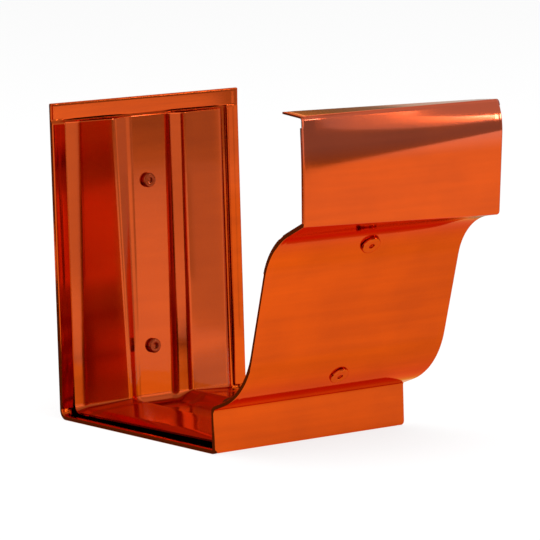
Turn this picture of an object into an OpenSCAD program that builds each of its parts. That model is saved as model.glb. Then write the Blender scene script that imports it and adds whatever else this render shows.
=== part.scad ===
// Slip joint for a five inch ogee gutter, in copper sheet.
// A folded outer shell follows the gutter's profile, with pressed hems along
// both ends and along the top of the back wall. An inner strip is riveted to it
// on its sunk middle band, so the strip's raised wings leave a pocket at each
// end, and the two gutter ends slide into those pockets.
// The run is along X, the back wall stands at +Y, and the floor lies on Z = 0.

/* [Trough] */
// Length along the gutter run
run_l = 67; // [56:0.5:110]
// Height of the back wall
back_h = 94; // [86:0.5:110]
// Depth of the floor, measured outside
floor_w = 80.7; // [72:0.1:90]
// Depth outside at the foot of the top strip
top_w = 126.6; // [122:0.2:136]
// Thickness of the copper sheet
sheet_t = 0.55; // [0.45:0.05:0.65]
// Outside radius of the bend between back wall and floor
back_r = 2.9; // [2:0.1:4]
// Outside radius of the bend between floor and front
toe_r = 1.5; // [1.3:0.1:2.5]

/* [Ogee front] */
// Height of the upright strip in front of the floor
base_h = 12.5; // [9:0.5:16]
// Radius of the fold above the upright strip
base_r = 0.8; // [0.5:0.1:1.5]
// Angle of the belly's foot above level
foot_angle = 19; // [14:1:24]
// Distance from the upright strip to the belly's corner
belly_out = 16.3; // [14:0.1:19]
// Radius of the belly
belly_r = 24; // [18:0.5:26]
// Angle of the steep run above level
steep_angle = 72.5; // [68:0.5:74]
// Height of the top strip's foot, at the near end
fold_near_h = 68; // [66:0.1:70]
// Height of the top strip's foot, at the far end
fold_far_h = 65.2; // [64:0.1:68]
// Slope of the cove where it meets the top strip, at the near end
cove_near_angle = 24; // [18:1:26]
// Slope of the cove where it meets the top strip, at the far end
cove_far_angle = 8; // [6:1:14]
// Radius of the cove, at the near end
cove_near_r = 20; // [16:0.5:22]
// Radius of the cove, at the far end
cove_far_r = 17.5; // [14:0.5:20]
// Radius of the fold at the top strip's foot
fold_r = 1.3; // [1.2:0.1:2]

/* [Top roll] */
// Height of the top edge of the front
lip_h = 97.4; // [95:0.1:104]
// How far the top strip leans out where it turns back, at the near end
lean_near = 0.5; // [0.3:0.1:1]
// How far the top strip leans out where it turns back, at the far end
lean_far = 2.4; // [1.8:0.1:3]
// Distance from the top edge down to that turn, at the near end
ease_near_down = 13; // [11:0.5:15]
// Distance from the top edge down to that turn, at the far end
ease_far_down = 5.6; // [5.2:0.1:7]
// How far the top edge lies behind that turn, at the near end
back_near = 0.1; // [0:0.1:0.6]
// How far the top edge lies behind that turn, at the far end
back_far = 2; // [1.2:0.1:2.4]
// Share of the strip above the turn that its bend takes up
ease_share = 0.92; // [0.5:0.02:0.96]
// Outside radius of the top edge's fold
lip_r = 1.2; // [0.9:0.1:1.4]
// Depth of the flange turned in at the top
flange_w = 9; // [8.4:0.1:14]
// Rise of the flange towards the back, at the near end
rise_near = 0.9; // [0.4:0.1:1.5]
// Drop of the flange towards the back, at the far end
drop_far = 0.6; // [0:0.1:1]

/* [Hems] */
// Width of the hem folded in along each end
hem_w = 2.5; // [1.5:0.1:3.5]
// Height of the hem folded down at the top of the back wall
band_h = 5.1; // [4:0.1:8]
// How far below the top the near end's hem stops
hem_near_stop = 3; // [2.5:0.5:6]
// How far below the top the far end's hem stops
hem_far_stop = 1.7; // [1.7:0.1:2.2]
// Roundness of a hem's folded edge
hem_round = 0.3; // [0.1:0.05:0.4]
// Length over which a hem's raw edge steps down
hem_step = 0.3; // [0.1:0.1:0.5]

/* [Inner strip] */
// Width of the strip along the run
strip_w = 57; // [50:0.5:60]
// Shift of the strip and its rivets from the middle of the run
strip_shift = -0.3; // [-1:0.1:1]
// Width of the sunk middle band
sunk_w = 15.2; // [12:0.2:18]
// Width of each sloped step beside the middle band
step_w = 4.4; // [3:0.2:6]
// Width of each wing's edge that is rolled down
edge_w = 4.2; // [2:0.2:5]
// How far the crests beside the middle band stand above it
wing_up = 2.5; // [1.9:0.1:3]
// How far the wings slope down outwards, on the back wall
wall_drop = 1.1; // [0.6:0.1:1.2]
// How far the wings slope down outwards, on the floor and the front
floor_drop = 0.4; // [0.2:0.1:0.8]
// How far the wings' edges are rolled down
edge_down = 0.5; // [0.3:0.1:0.6]
// Bend radius of the steps and edges
crease_r = 2; // [1:0.5:3]
// Gap between the strip and the shell that it is riveted to
seat_gap = 0.05; // [0.03:0.01:0.1]
// Gap between the strip's top and the hem above it
strip_top_gap = 0.4; // [0.2:0.1:1]
// Distance from the strip's front end to the top strip's foot
strip_end_gap = 4.5; // [4:0.5:8]
// Radius that the strip adds at the bend between wall and floor
strip_back_bend = 1.3; // [1:0.1:2]
// Radius that the strip adds at the bend between floor and front
strip_toe_bend = 1.8; // [1.4:0.1:2.8]

/* [Rivets] */
// Diameter of the rivets' shanks
rivet_d = 3.2; // [2.4:0.1:4]
// Diameter of the rivets' heads, outside
head_d = 5.8; // [5:0.1:7]
// Height of the heads
head_h = 0.8; // [0.7:0.1:1.2]
// Roundness of the heads' edges
head_round = 0.5; // [0.2:0.1:0.6]
// Diameter of the set ends, inside the trough
tail_d = 4.9; // [4.3:0.1:5.5]
// Height of the set ends
tail_h = 1.5; // [1.3:0.1:1.8]
// Roundness of the set ends' edges
tail_round = 0.6; // [0.3:0.1:0.7]
// Diameter of the hole down the middle of each rivet
pin_d = 1.7; // [1:0.1:2]
// Depth of that hole from each end
pin_deep = 0.6; // [0.3:0.1:0.8]
// Clearance around each shank
rivet_gap = 0.05; // [0.02:0.01:0.1]
// Height of the lower rivet in the back wall
back_low_h = 18.6; // [14:0.2:30]
// Height of the upper rivet in the back wall
back_high_h = 68.7; // [50:0.2:80]
// Place of the lower front rivet along the belly's bend
belly_share = 0.52; // [0.3:0.02:0.7]
// Place of the upper front rivet along the cove's bend
cove_share = 0.4; // [0.3:0.02:0.7]

/* [Hidden] */
copper = [0.88, 0.36, 0.13];
rivet_copper = [0.72, 0.32, 0.15];
$fn = 48;
hem_t = 2 * sheet_t;
strip_at = run_l / 2 + strip_shift;
// Sheets and seat that a rivet clamps
stack = 2 * sheet_t + seat_gap;
// Plain stations of the shell between its hems
spans = 6;
// Height over which a hem's raw end fades out below the roll
hem_fade = 0.4;

// Plane geometry, in the section: first depth from the back wall, then height
function mix(a, b, u) = a + (b - a) * u;
function aim(a) = [cos(a), sin(a)];
function left(v) = [-v[1], v[0]];
function unit(v) = v / norm(v);
function flip(list) = [for (i = [len(list) - 1:-1:0]) list[i]];
// Where the line from p at angle a meets the line from q at angle b
function meet(p, a, q, b) = p + aim(a) * cross(q - p, aim(b)) / cross(aim(a), aim(b));

// The fold line of the shell's outside face at a share u of the run, as
// corners: each has its place, its bend radius and its number of facets
function belly_corner() = [floor_w + belly_out, base_h + belly_out * tan(foot_angle)];
function strip_foot(u) = [top_w, mix(fold_near_h, fold_far_h, u)];
function ease_corner(u) =
    [top_w + mix(lean_near, lean_far, u), lip_h - mix(ease_near_down, ease_far_down, u)];
function lip_corner(u) = [ease_corner(u)[0] - mix(back_near, back_far, u), lip_h];
function flange_tip(u) = lip_corner(u) + [-flange_w, mix(rise_near, -drop_far, u)];
function cove_corner(u) =
    meet(belly_corner(), steep_angle, strip_foot(u), mix(cove_near_angle, cove_far_angle, u));
// Distance from the top edge down to the end hems' stop
function stop_down(u) = mix(hem_near_stop, hem_far_stop, u);
// Turn from direction a to direction b, to the left
function turn_of(a, b) = atan2(cross(a, b), a * b);
// Radius of the bend where the top strip turns back, short of the hems' stop
function ease_r(u) =
    let (low = ease_corner(u) - strip_foot(u), up = lip_corner(u) - ease_corner(u))
    ease_share * (norm(up) - stop_down(u)) / tan(turn_of(low, up) / 2);
function corners(u, back_more = 0, toe_more = 0) = [
    [[0, back_h], 0, 0],
    [[0, 0], back_r + back_more, 6],
    [[floor_w, 0], toe_r + toe_more, 5],
    [[floor_w, base_h], base_r, 4],
    [belly_corner(), belly_r, 9],
    [cove_corner(u), mix(cove_near_r, cove_far_r, u), 8],
    [strip_foot(u), fold_r, 5],
    [ease_corner(u), ease_r(u), 5],
    [lip_corner(u), lip_r, 5],
    [flange_tip(u), 0, 0]];

// Direction of travel from corner i to the next one
function travel(c, i) = unit(c[i + 1][0] - c[i][0]);
// Corner i moved d inwards, so that both legs beside it move by d
function inner(c, i, d) =
    let (a = left(travel(c, i - 1)), b = left(travel(c, i)))
    [c[i][0] + d * (a + b) / (1 + a * b), c[i][1] - sign(cross(a, b)) * d, c[i][2]];
// Points round corner i on a line that runs d inside the outside face
function bend(c, i, d = 0) =
    let (a = travel(c, i - 1), b = travel(c, i), turn = turn_of(a, b), side = sign(turn),
         corner = inner(c, i, d), r = max(0.05, corner[1]),
         start = corner[0] - r * tan(abs(turn) / 2) * a, n = c[i][2])
    [for (k = [0:n]) let (f = abs(turn) * k / n)
        start + r * (sin(f) * a + (1 - cos(f)) * side * left(a))];
// The bends from corner i to corner j, one after another
function bends(c, i, j, d = 0) = [for (k = [i:j]) each bend(c, k, d)];
// A point on the leg below the top edge, d inside its outside face
function on_strip(c, down, d) = c[8][0] - down * travel(c, 7) + d * left(travel(c, 7));

// One face of the shell's section, from the top of the back wall to the flange.
// It lies d inside the outside face, band_d along the band and lip_d past the hem
function shell_line(u, d, band_d, lip_d, half, side) =
    let (c = corners(u), band_low = back_h - band_h, stop = stop_down(u))
    concat(
        [for (a = [15:25:90]) [sheet_t, back_h - sheet_t] + half * aim(90 + side * a)],
        [[band_d, band_low], [d, band_low - hem_step]],
        bends(c, 1, 7, d),
        [on_strip(c, stop, d), on_strip(c, stop - hem_fade, lip_d)],
        bend(c, 8, lip_d),
        [c[9][0] + lip_d * left(travel(c, 8))]);

// Section of the shell. The sheet runs from d0 to d1 inside the outside face
function shell_outline(u, d0, d1) =
    let (half = sheet_t - d0)
    concat(shell_line(u, d0, d0, 0, half, 1),
           flip(shell_line(u, d1, hem_t - d0, sheet_t, half, -1)));

// One face of the strip's section, inside the shell's outside face by d_wall at
// the wall's top, by d_floor on the floor and the front, and halfway where the wall
// meets the floor. Its corners are moved first and then joined up
function strip_line(u, d_wall, d_floor) =
    let (c = corners(u, strip_back_bend, strip_toe_bend), way = travel(c, 5),
         top = back_h - band_h - hem_step - strip_top_gap,
         moved = concat([[[d_wall, top], 0, 0], inner(c, 1, (d_wall + d_floor) / 2)],
                        [for (i = [2:5]) inner(c, i, d_floor)],
                        [[c[6][0] - strip_end_gap * way + d_floor * left(way), 0, 0]]))
    concat([moved[0][0]], bends(moved, 1, 5), [moved[6][0]]);

// Section of the strip, above the place where it is riveted to the shell by
// wall_up at the wall's top and by floor_up on the floor and the front
function strip_outline(u, wall_up, floor_up) =
    let (low = sheet_t + seat_gap, high = low + sheet_t)
    concat(strip_line(u, low + wall_up, low + floor_up),
           flip(strip_line(u, high + wall_up, high + floor_up)));

// Height of the strip's underside across the run, as corners and facets, where its
// wings slope down by drop
function wing_corners(drop) =
    let (s = sunk_w / 2, w = s + step_w, e = strip_w / 2, low = wing_up - drop)
    [[[-e, low - edge_down], 0, 0], [[edge_w - e, low], crease_r, 3],
     [[-w, wing_up], crease_r, 3], [[-s, 0], crease_r, 3],
     [[s, 0], crease_r, 3], [[w, wing_up], crease_r, 3],
     [[e - edge_w, low], crease_r, 3], [[e, low - edge_down], 0, 0]];
function wing_line(drop) =
    let (c = wing_corners(drop)) concat([c[0][0]], bends(c, 1, 6), [c[7][0]]);

// Middle of the whole part in depth, rivet heads behind the wall included
far_depth = max([for (p = bend(corners(1), 7)) p[0]]);
mid_depth = (far_depth - head_h) / 2;
function place(x, p) = [x - run_l / 2, mid_depth - p[0], p[1]];

// Skin through a row of closed outlines, one for each station along the run.
// An outline's two faces pair up from its ends, so each end is closed pair by pair
module loft(rows) {
    n = len(rows[0]);
    last = len(rows) - 1;
    end = last * n;
    polyhedron(
        points = [for (row = rows) each row],
        faces = concat(
            [for (i = [0:n / 2 - 2]) let (j = n - 1 - i)
                each [[i, i + 1, j], [i + 1, j - 1, j]]],
            [for (i = [0:n / 2 - 2]) let (j = n - 1 - i)
                each [[end + j, end + i + 1, end + i], [end + j, end + j - 1, end + i + 1]]],
            [for (k = [0:last - 1], i = [0:n - 1])
                let (j = (i + 1) % n, a = k * n, b = a + n)
                each [[a + i, b + i, b + j], [a + i, b + j, a + j]]]),
        convexity = 10);
}

// Stations of the shell: where each lies, and how far in its faces start and end
function end_stations() = [
    [0, hem_round, hem_t - hem_round], [hem_round, 0, hem_t],
    [hem_w, 0, hem_t], [hem_w + hem_step, 0, sheet_t]];
function shell_stations() =
    let (near = end_stations(), inset = hem_w + hem_step, gap = run_l - 2 * inset)
    concat(near, [for (k = [1:spans - 1]) [inset + gap * k / spans, 0, sheet_t]],
           [for (e = flip(near)) [run_l - e[0], e[1], e[2]]]);

// Quarter round of radius r about a hub, from angle a on
function round_edge(hub, r, a) = [for (k = [0:30:90]) hub + r * aim(a + k)];

// Rivet along +Z: head below the sheets, set end above them
module rivet(grip) {
    head_r = head_d / 2;
    tail_r = tail_d / 2;
    top = grip + tail_h;
    difference() {
        rotate_extrude() polygon(concat(
            [[0, -head_h]],
            round_edge([head_r - head_round, head_round - head_h], head_round, -90),
            [[head_r, 0], [rivet_d / 2, 0], [rivet_d / 2, grip]],
            round_edge([tail_r - tail_round, grip + tail_round], tail_round, -90),
            round_edge([tail_r - tail_round, top - tail_round], tail_round, 0),
            [[0, top]]));
        translate([0, 0, -head_h - pin_deep]) cylinder(d = pin_d, h = 2 * pin_deep);
        translate([0, 0, top - pin_deep]) cylinder(d = pin_d, h = 2 * pin_deep);
    }
}

// Rise of a round end of diameter d over a bend of radius r that hollows away from it
function sag(r, d) = r - sqrt(r * r - d * d / 4);

// Puts its children on the back wall at height z, with +Z pointing into the trough
module on_wall(z) {
    translate(place(strip_at, [0, z])) rotate([90, 0, 0]) children();
}

// Puts its children on corner i at a share f of its bend, +Z into the trough
module on_bend(i, f) {
    c = corners(strip_at / run_l);
    a = travel(c, i - 1);
    b = travel(c, i);
    turn = turn_of(a, b);
    r = c[i][1];
    hub = c[i][0] - r * tan(abs(turn) / 2) * a + sign(turn) * r * left(a);
    way = atan2(a[1], a[0]) + f * turn;
    spot = hub - sign(turn) * r * left(aim(way));
    translate(place(strip_at, spot)) rotate([-way, 0, 0]) children();
}

// A round hole for a shank, through both sheets and as far again on each side
module shank_hole() {
    translate([0, 0, -stack]) cylinder(d = rivet_d + 2 * rivet_gap, h = 3 * stack);
}

// The round holes that the four shanks pass through
module rivet_holes() {
    for (z = [back_low_h, back_high_h]) on_wall(z) shank_hole();
    on_bend(4, belly_share) shank_hole();
    on_bend(5, cove_share) shank_hole();
}

module outer_shell() {
    color(copper) difference() {
        loft([for (s = shell_stations())
            [for (p = shell_outline(s[0] / run_l, s[1], s[2])) place(s[0], p)]]);
        rivet_holes();
    }
}

module inner_strip() {
    on_wall = wing_line(wall_drop);
    on_floor = wing_line(floor_drop);
    color(copper) difference() {
        loft([for (i = [0:len(on_wall) - 1]) let (x = strip_at + on_wall[i][0])
            [for (p = strip_outline(x / run_l, on_wall[i][1], on_floor[i][1])) place(x, p)]]);
        rivet_holes();
    }
}

module back_rivet_lower() {
    color(rivet_copper) on_wall(back_low_h) rivet(stack);
}

module back_rivet_upper() {
    color(rivet_copper) on_wall(back_high_h) rivet(stack);
}

module front_rivet_lower() {
    color(rivet_copper) on_bend(4, belly_share) rivet(stack + sag(belly_r - stack, tail_d));
}

module front_rivet_upper() {
    cove_r = corners(strip_at / run_l)[5][1];
    lift = sag(cove_r, head_d);
    color(rivet_copper) on_bend(5, cove_share) translate([0, 0, -lift]) rivet(stack + lift);
}

outer_shell();
inner_strip();
back_rivet_lower();
back_rivet_upper();
front_rivet_lower();
front_rivet_upper();
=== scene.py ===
"""Looks of a copper slip joint for a five inch ogee gutter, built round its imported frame."""

import logging
import math
from dataclasses import dataclass, field, replace
from enum import Enum, IntEnum
from functools import reduce
from typing import Callable, Dict, List, Optional, Sequence, Tuple

import bmesh
import bpy
from bmesh.types import BMEdge, BMesh, BMFace, BMVert
from mathutils import Matrix, Vector


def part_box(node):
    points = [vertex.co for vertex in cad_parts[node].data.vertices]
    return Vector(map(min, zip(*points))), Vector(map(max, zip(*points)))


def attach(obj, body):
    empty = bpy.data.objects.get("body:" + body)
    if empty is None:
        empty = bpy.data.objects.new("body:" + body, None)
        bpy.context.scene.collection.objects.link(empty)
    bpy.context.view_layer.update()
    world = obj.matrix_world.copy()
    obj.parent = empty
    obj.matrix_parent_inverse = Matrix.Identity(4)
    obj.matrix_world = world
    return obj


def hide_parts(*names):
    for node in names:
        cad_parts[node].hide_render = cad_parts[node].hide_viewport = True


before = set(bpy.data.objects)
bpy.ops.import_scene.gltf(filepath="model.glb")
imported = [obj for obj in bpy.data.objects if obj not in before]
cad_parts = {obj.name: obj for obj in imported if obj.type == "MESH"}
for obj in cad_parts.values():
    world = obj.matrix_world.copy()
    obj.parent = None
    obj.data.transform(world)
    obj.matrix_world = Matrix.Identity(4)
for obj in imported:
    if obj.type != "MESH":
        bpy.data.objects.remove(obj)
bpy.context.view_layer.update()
LOG = logging.getLogger("slip_joint")
ALONG_RUN = Vector((1.0, 0.0, 0.0))
NO_GAP = 1e-6
LEAST_RADIUS = 5e-5
Colour = Tuple[float, float, float]


def mix(start: float, end: float, share: float) -> float:
    """Gives the value at a share of the way from start to end."""
    return start + (end - start) * share


def heading(degrees: float) -> Vector:
    """Gives the direction in the section that rises at this angle from level."""
    return Vector((math.cos(math.radians(degrees)), math.sin(math.radians(degrees))))


def left_of(way: Vector) -> Vector:
    """Gives the direction a quarter turn to the left of a direction in the section."""
    return Vector((-way.y, way.x))


def cross(a: Vector, b: Vector) -> float:
    """Gives the cross product of two directions in the section."""
    return a.x * b.y - a.y * b.x


def meet(spot: Vector, angle: float, other: Vector, other_angle: float) -> Vector:
    """Finds where two lines of the section cross, each given by a point and its angle."""
    a, b = heading(angle), heading(other_angle)
    return spot + a * (cross(other - spot, b) / cross(a, b))


class Bend(IntEnum):
    """The corners of the section by their place in its list, from the wall's top to the flange."""

    WALL_TOP = 0
    BACK = 1
    TOE = 2
    BASE = 3
    BELLY = 4
    COVE = 5
    FOOT = 6
    EASE = 7
    LIP = 8
    TIP = 9


@dataclass(frozen=True)
class Corner:
    """A corner of a section line.

    Its place in the section is on the outside face. The bend has a radius there and a number
    of facets. The line runs inset inside that face and is moved by slide along the run.
    """

    spot: Vector
    radius: float = 0.0
    steps: int = 0
    inset: float = 0.0
    slide: float = 0.0


@dataclass
class Section:
    """Folded section of the joint, drawn as the outside face of its sheet.

    Points of the section are depth in front of the back wall, then height. Sizes are in metres
    and angles in degrees, and a near or far value holds at that end of the run.
    """

    wall_height: float = 0.094
    floor_depth: float = 0.0807
    top_depth: float = 0.1266
    sheet: float = 0.00055
    back_radius: float = 0.0029
    toe_radius: float = 0.0015
    base_height: float = 0.0125
    base_radius: float = 0.0008
    foot_angle: float = 19.0
    belly_out: float = 0.0163
    belly_radius: float = 0.024
    steep_angle: float = 72.5
    foot_near: float = 0.068
    foot_far: float = 0.0652
    cove_near_angle: float = 24.0
    cove_far_angle: float = 8.0
    cove_near_radius: float = 0.020
    cove_far_radius: float = 0.0175
    fold_radius: float = 0.0013
    lip_height: float = 0.0974
    lean_near: float = 0.0005
    lean_far: float = 0.0024
    ease_near_down: float = 0.0102
    ease_far_down: float = 0.0056
    back_near: float = 0.0001
    back_far: float = 0.002
    ease_share: float = 0.92
    lip_radius: float = 0.0012
    flange: float = 0.009
    rise_near: float = 0.0009
    drop_far: float = 0.0006
    stop_near: float = 0.003
    stop_far: float = 0.0017
    early_lean: float = 0.0004
    early_back: float = 0.0005
    guard: float = 0.0004
    low: Vector = field(default_factory=lambda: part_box("outer_shell")[0])
    high: Vector = field(default_factory=lambda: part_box("outer_shell")[1])

    @property
    def run(self) -> float:
        """Gives the length along the run."""
        return self.high.x - self.low.x

    def place(self, x: float, spot: Vector) -> Vector:
        """Puts a point of the section into the frame, at a distance x from the near end."""
        return Vector((self.low.x + x, self.high.y - spot.x, spot.y))

    def stop_down(self, share: float) -> float:
        """Gives the distance from the top edge down to the end hems' stop."""
        return mix(self.stop_near, self.stop_far, share)

    def top_roll(self, share: float, loose: float) -> Tuple[Corner, Corner, Corner]:
        """Lists the corners of the top roll: the ease, the top edge and the flange's tip.

        Args:
            share: share of the run.
            loose: how far the sheet is out of the near hem's hold, from 0 to 1.

        Returns:
            The three corners.
        """
        free = loose * (1 - share)
        out = mix(self.lean_near, self.lean_far, share) + self.early_lean * free
        down = mix(self.ease_near_down, self.ease_far_down, share)
        back = mix(self.back_near, self.back_far, share) + (self.early_lean + self.early_back) * free
        foot = Vector((self.top_depth, mix(self.foot_near, self.foot_far, share)))
        ease = Vector((self.top_depth + out, self.lip_height - down))
        lip = Vector((ease.x - back, self.lip_height))
        tip = lip + Vector((-self.flange, mix(self.rise_near, -self.drop_far, share)))
        turn = (ease - foot).angle(lip - ease)
        radius = self.ease_share * ((lip - ease).length - self.stop_down(share)) / math.tan(turn / 2)
        return Corner(ease, radius, steps=24), Corner(lip, self.lip_radius, steps=16), Corner(tip)

    def corners(self, share: float, back_more: float = 0.0, toe_more: float = 0.0,
                loose: float = 1.0) -> List[Corner]:
        """Lists the corners of the fold line from the wall's top to the flange.

        Args:
            share: share of the run, 0 at the near end.
            back_more: radius added at the bend between wall and floor.
            toe_more: radius added at the bend between floor and front.
            loose: how far the top roll is out of the near hem's hold, from 0 to 1.

        Returns:
            The corners in the order of Bend.
        """
        rise = self.belly_out * math.tan(math.radians(self.foot_angle))
        belly = Vector((self.floor_depth + self.belly_out, self.base_height + rise))
        foot = Vector((self.top_depth, mix(self.foot_near, self.foot_far, share)))
        cove_angle = mix(self.cove_near_angle, self.cove_far_angle, share)
        cove = meet(belly, self.steep_angle, foot, cove_angle)
        return [
            Corner(Vector((0.0, self.wall_height))),
            Corner(Vector((0.0, 0.0)), self.back_radius + back_more, steps=20),
            Corner(Vector((self.floor_depth, 0.0)), self.toe_radius + toe_more, steps=16),
            Corner(Vector((self.floor_depth, self.base_height)), self.base_radius, steps=12),
            Corner(belly, self.belly_radius, steps=24),
            Corner(cove, mix(self.cove_near_radius, self.cove_far_radius, share), steps=24),
            Corner(foot, self.fold_radius, steps=12),
            *self.top_roll(share, loose),
        ]

    def on_bend(self, bend: Bend, along: float, share: float) -> Tuple[Vector, Vector]:
        """Finds a point on one bend of the outside face.

        Args:
            bend: which corner.
            along: share of the bend.
            share: share of the run.

        Returns:
            The point in the section and the direction from there into the trough.
        """
        before, here, after = self.corners(share)[bend - 1:bend + 2]
        a, b = directions((before, here, after))
        turn = math.atan2(cross(a, b), a.dot(b))
        side = math.copysign(1.0, turn)
        radius = here.radius
        hub = here.spot - a * (radius * math.tan(abs(turn) / 2)) + left_of(a) * (side * radius)
        inward = left_of(heading(math.degrees(math.atan2(a.y, a.x) + along * turn)))
        return hub - inward * (side * radius), inward


def directions(corners: Sequence[Corner]) -> List[Vector]:
    """Lists the directions of travel between neighbouring corners."""
    return [(b.spot - a.spot).normalized() for a, b in zip(corners, corners[1:])]


def moved_in(corners: Sequence[Corner]) -> List[Corner]:
    """Moves each corner of a line inwards by its inset, and gives bends the radius they have there.

    Args:
        corners: the line's corners, with their spots on the outside face.

    Returns:
        The corners in their new places.
    """
    ways = directions(corners)
    first, last = corners[0], corners[-1]
    moved = [replace(first, spot=first.spot + left_of(ways[0]) * first.inset)]
    for corner, a, b in zip(corners[1:-1], ways, ways[1:]):
        spot = corner.spot + (left_of(a) + left_of(b)) * (corner.inset / (1 + a.dot(b)))
        side = math.copysign(1.0, cross(a, b))
        radius = max(LEAST_RADIUS, corner.radius - side * corner.inset) if corner.steps else 0.0
        moved.append(replace(corner, spot=spot, radius=radius))
    moved.append(replace(last, spot=last.spot + left_of(ways[-1]) * last.inset))
    return moved


class SectionPen:
    """Draws section lines in a bmesh: legs by extruding a vertex, bends by spinning it."""

    def __init__(self, mesh: BMesh, section: Section, parts: int = 8) -> None:
        """Holds what the pen draws with.

        Args:
            mesh: the mesh to draw in.
            section: the section, which places points in the frame.
            parts: number of parts of each straight leg.
        """
        self.mesh = mesh
        self.section = section
        self.parts = parts

    def draw(self, x: float, corners: Sequence[Corner]) -> List[BMVert]:
        """Draws one whole line across the sheet.

        Args:
            x: distance of the line from the near end.
            corners: corners of the line.

        Returns:
            The line's vertices in order.
        """
        moved = moved_in(corners)
        ways = directions(moved)
        chain = [self.mesh.verts.new(self.section.place(x + moved[0].slide, moved[0].spot))]
        for corner, a, b in zip(moved[1:-1], ways, ways[1:]):
            turn = math.atan2(cross(a, b), a.dot(b))
            side = math.copysign(1.0, turn)
            begin = corner.spot - a * (corner.radius * math.tan(abs(turn) / 2))
            self.leg(chain, self.section.place(x + corner.slide, begin))
            if corner.steps:
                hub = self.section.place(x + corner.slide, begin + left_of(a) * (side * corner.radius))
                self.bend(chain, hub, turn, corner.steps)
        self.leg(chain, self.section.place(x + moved[-1].slide, moved[-1].spot))
        return chain

    def leg(self, chain: List[BMVert], end: Vector) -> None:
        """Extrudes the last vertex of a chain along a straight leg, with a guard near each end.

        Args:
            chain: the line's vertices so far, to which the leg's are added.
            end: end of the leg in the frame.
        """
        begin = chain[-1].co.copy()
        guard = (end - begin).normalized() * min(self.section.guard, (end - begin).length / 4)
        stops = [(begin + guard).lerp(end - guard, k / self.parts) for k in range(self.parts + 1)]
        for stop in stops + [end]:
            made = bmesh.ops.extrude_vert_indiv(self.mesh, verts=[chain[-1]])
            made["verts"][0].co = stop
            chain.append(made["verts"][0])

    def bend(self, chain: List[BMVert], hub: Vector, turn: float, steps: int) -> None:
        """Spins the last vertex of a chain round a hub.

        Args:
            chain: the line's vertices so far, to which the bend's are added.
            hub: middle of the bend in the frame.
            turn: angle of the bend in radians, positive to the left.
            steps: number of facets.
        """
        count = len(self.mesh.verts)
        bmesh.ops.spin(self.mesh, geom=[chain[-1]], cent=hub, axis=-ALONG_RUN, angle=turn, steps=steps)
        self.mesh.verts.ensure_lookup_table()
        chain.extend(self.mesh.verts[k] for k in range(count, len(self.mesh.verts)))


def chain_edges(chain: Sequence[BMVert]) -> List[BMEdge]:
    """Lists the edges between neighbours of a chain of vertices.

    Args:
        chain: the vertices in order.

    Returns:
        The edges in order.
    """
    edges: List[BMEdge] = []
    for a, b in zip(chain, chain[1:]):
        edges.extend(e for e in a.link_edges if e.other_vert(a) is b)
    return edges


class Sheet:
    """A folded sheet: section lines bridged to one skin, which is then given its thickness."""

    def __init__(self, section: Section) -> None:
        """Starts an empty mesh with a layer for the way inwards.

        Args:
            section: the section that the sheet follows.
        """
        self.section = section
        self.mesh = bmesh.new()
        self.inward = self.mesh.verts.layers.float_vector.new("inward")
        self.pen = SectionPen(self.mesh, section)
        self.chains: List[List[BMVert]] = []

    def add_line(self, x: float, corners: Sequence[Corner]) -> None:
        """Draws a section line and bridges it to the one before.

        Args:
            x: distance of the line from the near end.
            corners: corners of the line.
        """
        chain = self.pen.draw(x, corners)
        if self.chains:
            edges = chain_edges(self.chains[-1]) + chain_edges(chain)
            bmesh.ops.bridge_loops(self.mesh, edges=edges)
        self.chains.append(chain)

    def face_outwards(self) -> None:
        """Turns the skin's faces away from the trough and notes the way inwards at each vertex."""
        bmesh.ops.recalc_face_normals(self.mesh, faces=self.mesh.faces)
        wall = max(self.mesh.faces, key=lambda f: f.calc_center_median().y)
        if wall.normal.y < 0:
            bmesh.ops.reverse_faces(self.mesh, faces=self.mesh.faces)
        self.mesh.normal_update()
        for v in self.mesh.verts:
            v[self.inward] = -v.normal * v.calc_shell_factor()

    def round_creases(self, edges: Sequence[BMEdge], offset: float, segments: int) -> None:
        """Rounds edges.

        Args:
            edges: the edges.
            offset: the distance on each side.
            segments: number of facets across the round.
        """
        bmesh.ops.bevel(self.mesh, geom=list(edges), offset=offset, offset_type="OFFSET",
                        segments=segments, profile=0.5, affect="EDGES", clamp_overlap=True,
                        material=-1)

    def thicken(self, faces: Sequence[BMFace], amount: Callable[[Vector], float],
                keep: bool) -> List[BMFace]:
        """Raises faces inwards and gives them side walls.

        Args:
            faces: faces to raise.
            amount: distance along a vertex's way inwards, worked out from its place.
            keep: whether the faces also stay where they are.

        Returns:
            The raised faces.
        """
        made = bmesh.ops.extrude_face_region(self.mesh, geom=list(faces), use_keep_orig=keep)
        for v in (g for g in made["geom"] if isinstance(g, BMVert)):
            v.co = v.co + v[self.inward] * amount(v.co)
        return [g for g in made["geom"] if isinstance(g, BMFace)]

    def sharp_edges(self, least: float = 45.0) -> List[BMEdge]:
        """Lists the edges that turn by more than an angle in degrees."""
        limit = math.radians(least)
        return [e for e in self.mesh.edges if e.is_manifold and e.calc_face_angle(0.0) > limit]

    def finish(self, name: str) -> bpy.types.Object:
        """Turns the mesh into a smooth piece that stays between the ends of the run.

        Args:
            name: the piece's name.

        Returns:
            The piece's object.
        """
        bmesh.ops.remove_doubles(self.mesh, verts=self.mesh.verts, dist=NO_GAP)
        for v in self.mesh.verts:
            v.co.x = max(self.section.low.x, min(self.section.high.x, v.co.x))
        bmesh.ops.recalc_face_normals(self.mesh, faces=self.mesh.faces)
        self.mesh.verts.layers.float_vector.remove(self.inward)
        return as_piece(self.mesh, name)


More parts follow.
